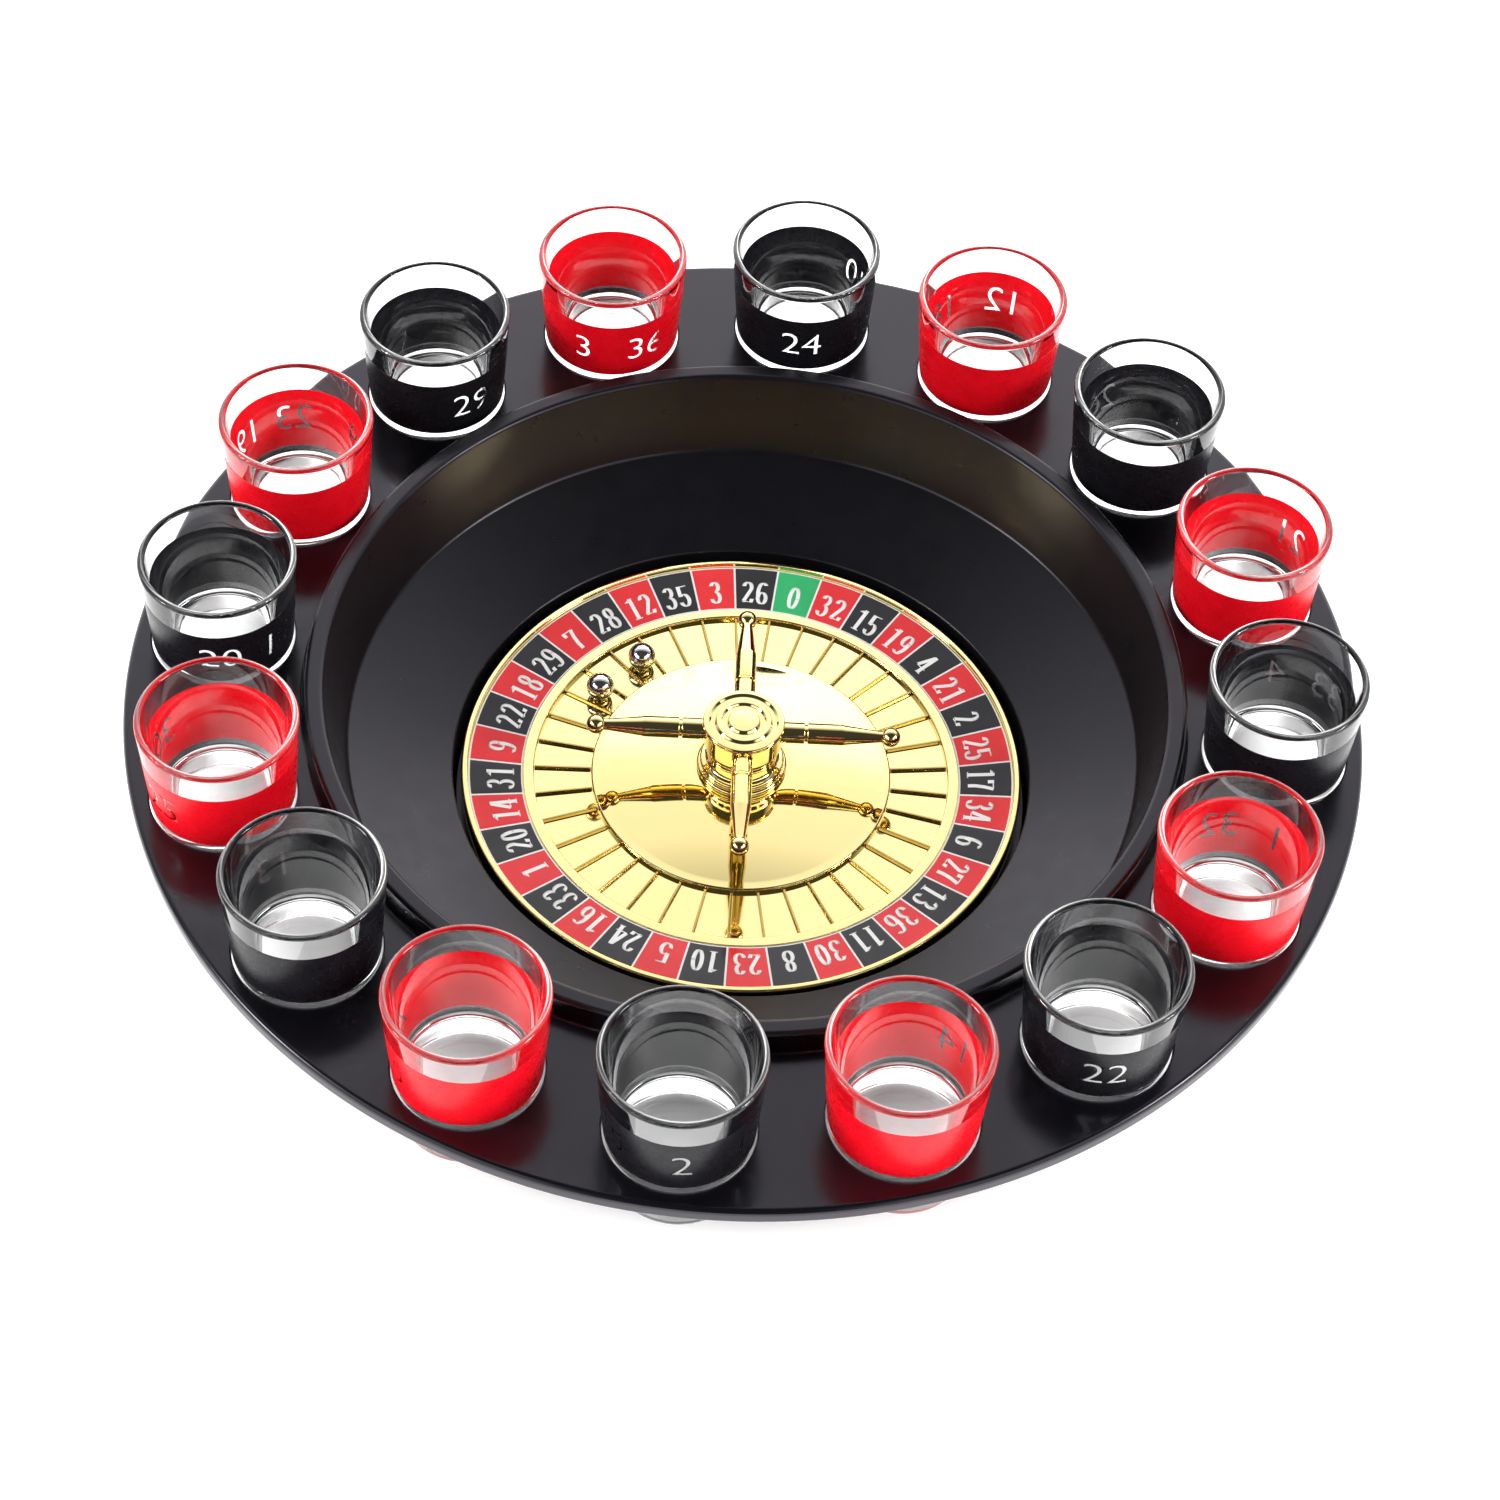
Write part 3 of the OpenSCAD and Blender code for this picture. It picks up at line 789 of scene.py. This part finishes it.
def number_lines(text, height):
    """The closed outlines of a number in the built-in font, centred on x = 0 and standing on y = 0."""
    data = bpy.data.curves.new("number", "FONT")
    data.body = text
    data.align_x = "CENTER"
    holder = new_object("number", data)
    bpy.context.view_layer.update()
    lines = []
    for spline in holder.to_curve(bpy.context.evaluated_depsgraph_get()).splines:
        knots = [(p.handle_left.xy.copy(), p.co.xy.copy(), p.handle_right.xy.copy())
                 for p in spline.bezier_points]
        line = []
        for one, two in zip(knots, knots[1:] + knots[:1]):
            straight = (one[2] - one[1]).length < 1e-6 and (two[0] - two[1]).length < 1e-6
            line += bezier_points(one, two, 1 if straight else 6)
        lines.append(line)
    holder.to_curve_clear()
    bpy.data.objects.remove(holder)
    heights = [p.y for line in lines for p in line]
    scale = height / (max(heights) - min(heights))
    return [trimmed([p * scale for p in line], -STROKE_TRIM) for line in lines]


def seam_angle(angles):
    """The middle of the widest gap between the angles, in degrees."""
    turns = sorted(a % 360 for a in angles)
    gaps = [(b - a, a) for a, b in zip(turns, turns[1:] + [turns[0] + 360])]
    gap, start = max(gaps)
    return start + gap / 2


def add_line(data, points):
    """Adds a closed line to a curve."""
    spline = data.splines.new("POLY")
    spline.points.add(len(points) - 1)
    for point, (x, y) in zip(spline.points, points):
        point.co = (x, y, 0, 1)
    spline.use_cyclic_u = True


def flat_band(prints, seam):
    """The band laid flat: x is the length along its middle, y the height, with the numbers left out."""
    middle_r = cone_radius(FLANGE_Z + (BAND_LOW + BAND_HIGH) / 2)
    length = 2 * math.pi * middle_r
    data = bpy.data.curves.new("band", "CURVE")
    data.dimensions = "2D"
    data.fill_mode = "BOTH"
    add_line(data, [(0, BAND_LOW), (length, BAND_LOW), (length, BAND_HIGH), (0, BAND_HIGH)])
    for number, facing in prints:
        offset = Vector((length * ((facing - 90 - seam) % 360) / 360, DIGIT_LOW))
        for line in number_lines(str(number), GLASS_DIGIT_H):
            add_line(data, [p + offset for p in line])
    holder = new_object("band", data)
    bpy.context.view_layer.update()
    mesh = bpy.data.meshes.new_from_object(holder.evaluated_get(bpy.context.evaluated_depsgraph_get()))
    bpy.data.objects.remove(holder)
    return mesh, length


def wrap_band(name, centre, prints):
    """The painted band, wrapped on the glass with its inner face just under the glass's surface."""
    seam = seam_angle([facing - 90 for _, facing in prints])
    flat, length = flat_band(prints, seam)
    bm = bmesh.new()
    bm.from_mesh(flat)
    bpy.data.meshes.remove(flat)
    for k in range(1, WRAP_STEPS):
        bmesh.ops.bisect_plane(bm, geom=bm.verts[:] + bm.edges[:] + bm.faces[:], dist=1e-5,
                               plane_co=(length * k / WRAP_STEPS, 0, 0), plane_no=(1, 0, 0))
    for vert in bm.verts:
        a = math.radians(seam) + 2 * math.pi * vert.co.x / length
        z = FLANGE_Z + vert.co.y
        radius = cone_radius(z) - BAND_SINK
        vert.co = (centre + Vector((radius * math.cos(a), radius * math.sin(a), z))) * MM
    bmesh.ops.remove_doubles(bm, verts=bm.verts, dist=2e-6)
    bmesh.ops.recalc_face_normals(bm, faces=bm.faces)
    for face in bm.faces:
        if face.normal.dot(face.calc_center_median() - centre * MM) < 0:
            face.normal_flip()
    mesh = close_bmesh(name, bm)
    smooth(mesh, 40)
    band = new_object(name, mesh)
    thicken(band, BAND_FILM, 1)
    return band


def make_glasses():
    """The glasses, black and red in turn, each with its painted band."""
    for i, node in enumerate(glass_names(), 1):
        centre = glass_centre(node)
        glass = lathe(f"{node}_blown", glass_outline(), 128, Matrix.Translation(centre), angle=50)
        red = i % 2 == 0
        finish_piece(glass, node, clear_glass, [node])
        band = wrap_band(f"{node}_band", centre, PRINTS[i])
        finish_piece(band, node, red_paint if red else black_paint)


# ---- CAD nodes that stay as they are ----

def dress_cad():
    finishes = {
        "rubber_feet": rubber, "spindle": zinc, "spindle_washer": zinc, "spindle_nut": zinc,
        "thrust_washer": nylon, "rotor_pan": gold_floor, "hub_bush": brass,
        "retaining_clip": dark_steel, "rotor_screws": dark_steel,
    }
    for node, material in finishes.items():
        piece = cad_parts[node]
        piece.data.materials.clear()
        piece.data.materials.append(material)


# ---- Floor, light and camera ----

FLOOR_SIZE = 6.0
# Painted light: the strength of the floor's own emission, and the radii in metres over which it rises from
# none to full.
FLOOR_PAINTED_LIGHT = 1.2
FLOOR_PAINTED_LIGHT_REACH = (0.12, 0.15)
WALL_STOPS = [(0.0, 0.04), (0.53, 0.05), (0.57, 0.25), (0.66, 0.6), (0.72, 1.05), (0.80, 1.15),
              (0.82, 1.3), (0.85, 2.0), (0.90, 2.5), (1.0, 2.5)]
SOFTBOX = 1.5
LIGHT_SIDE = 1.2
LIGHT_TARGET = (0, 0, 0.03)
LIGHT_WATTS = 7
LENS = 97.3
SENSOR = 36
SHIFT_X = 0.00284
SHIFT_Y = -0.0384
VIEW_DISTANCE = 0.984
VIEW_ELEVATION = 49.32
VIEW_ROLL = 3.4


def make_floor():
    """A pale table with painted light: beyond the wheel it emits light of its own in place of light from
    all sides, and the emission fades out under the wheel, which stays dim.
    """
    bm = bmesh.new()
    bmesh.ops.create_grid(bm, x_segments=4, y_segments=4, size=FLOOR_SIZE)
    mesh = close_bmesh("floor", bm)
    floor = new_object("floor", mesh)
    material, tree, shader = new_material("pale_floor_painted_light")
    tree.links.new(mixed(tree, noise(tree, 3), (0.93, 0.93, 0.93), (0.96, 0.96, 0.96)),
                   shader.inputs["Base Color"])
    shader.inputs["Roughness"].default_value = 0.9
    shader.inputs["Specular IOR Level"].default_value = 0.1
    where = tree.nodes.new("ShaderNodeTexCoord")
    distance = tree.nodes.new("ShaderNodeVectorMath")
    distance.operation = "LENGTH"
    tree.links.new(where.outputs["Object"], distance.inputs[0])
    # Painted light: white emission that rises from none under the wheel to full beyond its edge.
    shader.inputs["Emission Color"].default_value = (1, 1, 1, 1)
    painted_light = spread(tree, distance.outputs["Value"], 0, FLOOR_PAINTED_LIGHT, *FLOOR_PAINTED_LIGHT_REACH)
    tree.links.new(painted_light, shader.inputs["Emission Strength"])
    mesh.materials.append(material)


def math_node(tree, operation, one, two=None):
    """The result of a Math node on one or two sockets."""
    made = tree.nodes.new("ShaderNodeMath")
    made.operation = operation
    tree.links.new(one, made.inputs[0])
    if two is not None:
        tree.links.new(two, made.inputs[1])
    return made.outputs[0]


def make_world():
    """A studio: a broad bright wall behind and above, a softbox at each side, dark round the camera."""
    world = bpy.data.worlds.new("studio")
    bpy.context.scene.world = world
    world.use_nodes = True
    tree = world.node_tree
    where = tree.nodes.new("ShaderNodeTexCoord")
    split = tree.nodes.new("ShaderNodeSeparateXYZ")
    tree.links.new(where.outputs["Generated"], split.inputs["Vector"])
    ramp = tree.nodes.new("ShaderNodeValToRGB")
    tree.links.new(spread(tree, split.outputs["Y"], 0, 1, -1, 1), ramp.inputs["Fac"])
    elements = ramp.color_ramp.elements
    while len(elements) < len(WALL_STOPS):
        elements.new(0.5)
    for element, (place, value) in zip(elements, WALL_STOPS):
        element.position = place
        element.color = (value, value, value, 1)
    sideways = math_node(tree, "ABSOLUTE", split.outputs["X"])
    box = spread(tree, sideways, 0, SOFTBOX, 0.34, 0.40)
    box = math_node(tree, "MULTIPLY", box, spread(tree, split.outputs["Z"], 0, 1, 0.10, 0.14))
    box = math_node(tree, "MULTIPLY", box, spread(tree, split.outputs["Z"], 1, 0, 0.66, 0.70))
    box = math_node(tree, "MULTIPLY", box, spread(tree, split.outputs["Y"], 1, 0, -0.10, -0.06))
    total = math_node(tree, "MAXIMUM", ramp.outputs["Color"], box)
    tree.links.new(total, tree.nodes["Background"].inputs["Color"])


def add_area(name, where, size, glossy=True):
    """A round lamp that faces the wheel."""
    data = bpy.data.lights.new(name, "AREA")
    data.shape = "DISK"
    data.size = size
    data.energy = LIGHT_WATTS
    lamp = new_object(name, data)
    lamp.location = where
    lamp.rotation_mode = "QUATERNION"
    lamp.rotation_quaternion = (Vector(LIGHT_TARGET) - Vector(where)).to_track_quat("-Z", "Y")
    lamp.visible_glossy = glossy


def make_lights():
    """At each side, a broad fill that leaves no reflection and a smaller lamp that does."""
    for side in (-1, 1):
        add_area("fill", (side * LIGHT_SIDE, -0.7, 1.0), 0.9, glossy=False)
        add_area("lamp", (side * LIGHT_SIDE, -0.32, 0.72), 0.34)


def make_camera():
    """The photograph's viewpoint: well above the table, with a long lens and a slight roll."""
    data = bpy.data.cameras.new("camera")
    data.lens = LENS
    data.sensor_width = SENSOR
    data.shift_x = SHIFT_X
    data.shift_y = SHIFT_Y
    data.clip_start = 0.01
    data.clip_end = 50
    camera = new_object("camera", data)
    elevation = math.radians(VIEW_ELEVATION)
    target = Vector((0, 0, FLANGE_Z * MM))
    away = Vector((0, -math.cos(elevation), math.sin(elevation)))
    camera.location = target + away * VIEW_DISTANCE
    roll = Matrix.Rotation(math.radians(VIEW_ROLL), 4, "Z")
    camera.matrix_world = (Matrix.Translation(camera.location)
                           @ away.to_track_quat("Z", "Y").to_matrix().to_4x4() @ roll)
    bpy.context.scene.camera = camera


def set_view():
    scene = bpy.context.scene
    scene.view_settings.view_transform = "Standard"
    scene.view_settings.look = "None"


make_tray()
make_rim()
make_cone()
make_frets()
make_label()
make_turret()
make_arms()
make_balls()
make_glasses()
dress_cad()
make_floor()
make_world()
make_lights()
make_camera()
set_view()
